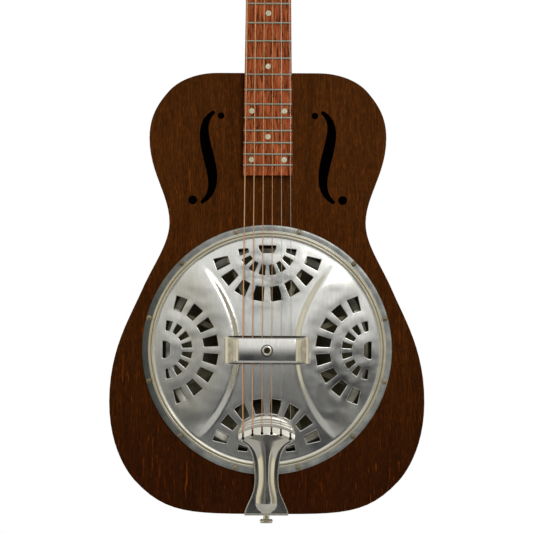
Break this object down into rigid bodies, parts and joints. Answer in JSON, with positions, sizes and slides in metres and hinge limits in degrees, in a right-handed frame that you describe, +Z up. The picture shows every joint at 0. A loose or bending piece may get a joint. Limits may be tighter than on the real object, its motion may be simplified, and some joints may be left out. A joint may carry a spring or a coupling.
{
  "type": "resonator guitar",
  "caption": "Wooden-bodied resonator guitar with pierced metal coverplate, arched hand rest, trapeze tailpiece, f-holes, square neck and slotted head with open-gear tuners.",
  "frame": {"origin": "midway between the head's two shoulders, level with the body's face, where a wall hanger's yoke carries the guitar", "axes": "+Z up along the neck towards the head, +X to the treble side, +Y from the face to the back; the face of the body lies at y = 0"},
  "size_m": [0.3644, 0.1162, 1.0067],
  "materials": {
    "body_wood": "satin brown stain over fine grain",
    "inner_wood": "bare, unfinished",
    "neck_wood": "satin brown stain",
    "dark_veneer": "satin black-brown",
    "rosewood": "oiled red-brown with dark streaks",
    "saddle_wood": "bare maple",
    "fret_metal": "polished nickel silver",
    "pearl": "pale pearl",
    "bone": "polished bone",
    "steel": "plain",
    "satin_plate": "satin nickel plate",
    "polished_plate": "polished nickel plate",
    "screw_metal": "worn nickel plate",
    "cone_metal": "spun and cast",
    "plain_string": "bright",
    "wound_string": "bronze winding",
    "tuner_metal": "nickel plate",
    "gear_brass": "satin",
    "roller_plastic": "ivory colour",
    "button_plastic": "ivory colour"
  },
  "bodies": {
    "root": {"top": "body_wood", "back": "body_wood", "side_bass": "body_wood", "side_treble": "body_wood", "linings": "inner_wood", "neck_block": "inner_wood", "tail_block": "inner_wood", "soundwell": "inner_wood", "back_braces": "inner_wood", "neck": "neck_wood", "head_veneer": "dark_veneer", "fretboard": "rosewood", "frets": "fret_metal", "fret_markers": "pearl", "nut": "bone", "neck_bolts": "steel", "coverplate": "satin_plate", "hand_rest": "satin_plate", "hand_rest_eyelet": "polished_plate", "coverplate_screws": "screw_metal", "cone": "cone_metal", "spider": "cone_metal", "saddles": "saddle_wood", "tailpiece": "polished_plate", "end_pin": "polished_plate", "string_1": "plain_string", "string_2": "plain_string", "string_3": "wound_string", "string_4": "wound_string", "string_5": "wound_string", "string_6": "wound_string", "tuner_plate_bass": "tuner_metal", "tuner_plate_treble": "tuner_metal", "tuner_screws": "screw_metal"},
    "knob_1": {"tuner_button_1": "button_plastic", "worm_1": "tuner_metal"},
    "spool_1": {"roller_1": "roller_plastic", "gear_1": "gear_brass"},
    "knob_2": {"tuner_button_2": "button_plastic", "worm_2": "tuner_metal"},
    "spool_2": {"roller_2": "roller_plastic", "gear_2": "gear_brass"},
    "knob_3": {"tuner_button_3": "button_plastic", "worm_3": "tuner_metal"},
    "spool_3": {"roller_3": "roller_plastic", "gear_3": "gear_brass"},
    "knob_4": {"tuner_button_4": "button_plastic", "worm_4": "tuner_metal"},
    "spool_4": {"roller_4": "roller_plastic", "gear_4": "gear_brass"},
    "knob_5": {"tuner_button_5": "button_plastic", "worm_5": "tuner_metal"},
    "spool_5": {"roller_5": "roller_plastic", "gear_5": "gear_brass"},
    "knob_6": {"tuner_button_6": "button_plastic", "worm_6": "tuner_metal"},
    "spool_6": {"roller_6": "roller_plastic", "gear_6": "gear_brass"},
    "tension": {"tension_screw": "screw_metal"}
  },
  "joints": [
    {"name": "knob_1_turn", "type": "hinge", "parent": "root", "child": "knob_1", "pos_m": [0.04, 0.01915, 0.03279], "axis": [0, 0.9781, -0.2079], "continuous": true},
    {"name": "spool_1_turn", "type": "hinge", "parent": "root", "child": "spool_1", "pos_m": [0.039, 0.02128, 0.04282], "axis": [1, 0, 0], "continuous": true},
    {"name": "knob_2_turn", "type": "hinge", "parent": "root", "child": "knob_2", "pos_m": [0.04, 0.02705, 0.06996], "axis": [0, 0.9781, -0.2079], "continuous": true},
    {"name": "spool_2_turn", "type": "hinge", "parent": "root", "child": "spool_2", "pos_m": [0.039, 0.02918, 0.07999], "axis": [1, 0, 0], "continuous": true},
    {"name": "knob_3_turn", "type": "hinge", "parent": "root", "child": "knob_3", "pos_m": [0.04, 0.03495, 0.10713], "axis": [0, 0.9781, -0.2079], "continuous": true},
    {"name": "spool_3_turn", "type": "hinge", "parent": "root", "child": "spool_3", "pos_m": [0.039, 0.03708, 0.11716], "axis": [1, 0, 0], "continuous": true},
    {"name": "knob_4_turn", "type": "hinge", "parent": "root", "child": "knob_4", "pos_m": [-0.04, 0.03495, 0.10713], "axis": [0, 0.9781, -0.2079], "continuous": true},
    {"name": "spool_4_turn", "type": "hinge", "parent": "root", "child": "spool_4", "pos_m": [-0.039, 0.03708, 0.11716], "axis": [1, 0, 0], "continuous": true},
    {"name": "knob_5_turn", "type": "hinge", "parent": "root", "child": "knob_5", "pos_m": [-0.04, 0.02705, 0.06996], "axis": [0, 0.9781, -0.2079], "continuous": true},
    {"name": "spool_5_turn", "type": "hinge", "parent": "root", "child": "spool_5", "pos_m": [-0.039, 0.02918, 0.07999], "axis": [1, 0, 0], "continuous": true},
    {"name": "knob_6_turn", "type": "hinge", "parent": "root", "child": "knob_6", "pos_m": [-0.04, 0.01915, 0.03279], "axis": [0, 0.9781, -0.2079], "continuous": true},
    {"name": "spool_6_turn", "type": "hinge", "parent": "root", "child": "spool_6", "pos_m": [-0.039, 0.02128, 0.04282], "axis": [1, 0, 0], "continuous": true},
    {"name": "tension_screw_turn", "type": "hinge", "parent": "root", "child": "tension", "pos_m": [0, 0, -0.6523], "axis": [0, 1, 0], "range_deg": [-180, 180]}
  ],
  "couplings": [
    {"joint": "spool_1_turn", "follows": "knob_1_turn", "ratio": -0.071429},
    {"joint": "spool_2_turn", "follows": "knob_2_turn", "ratio": -0.071429},
    {"joint": "spool_3_turn", "follows": "knob_3_turn", "ratio": -0.071429},
    {"joint": "spool_4_turn", "follows": "knob_4_turn", "ratio": -0.071429},
    {"joint": "spool_5_turn", "follows": "knob_5_turn", "ratio": -0.071429},
    {"joint": "spool_6_turn", "follows": "knob_6_turn", "ratio": -0.071429}
  ]
}
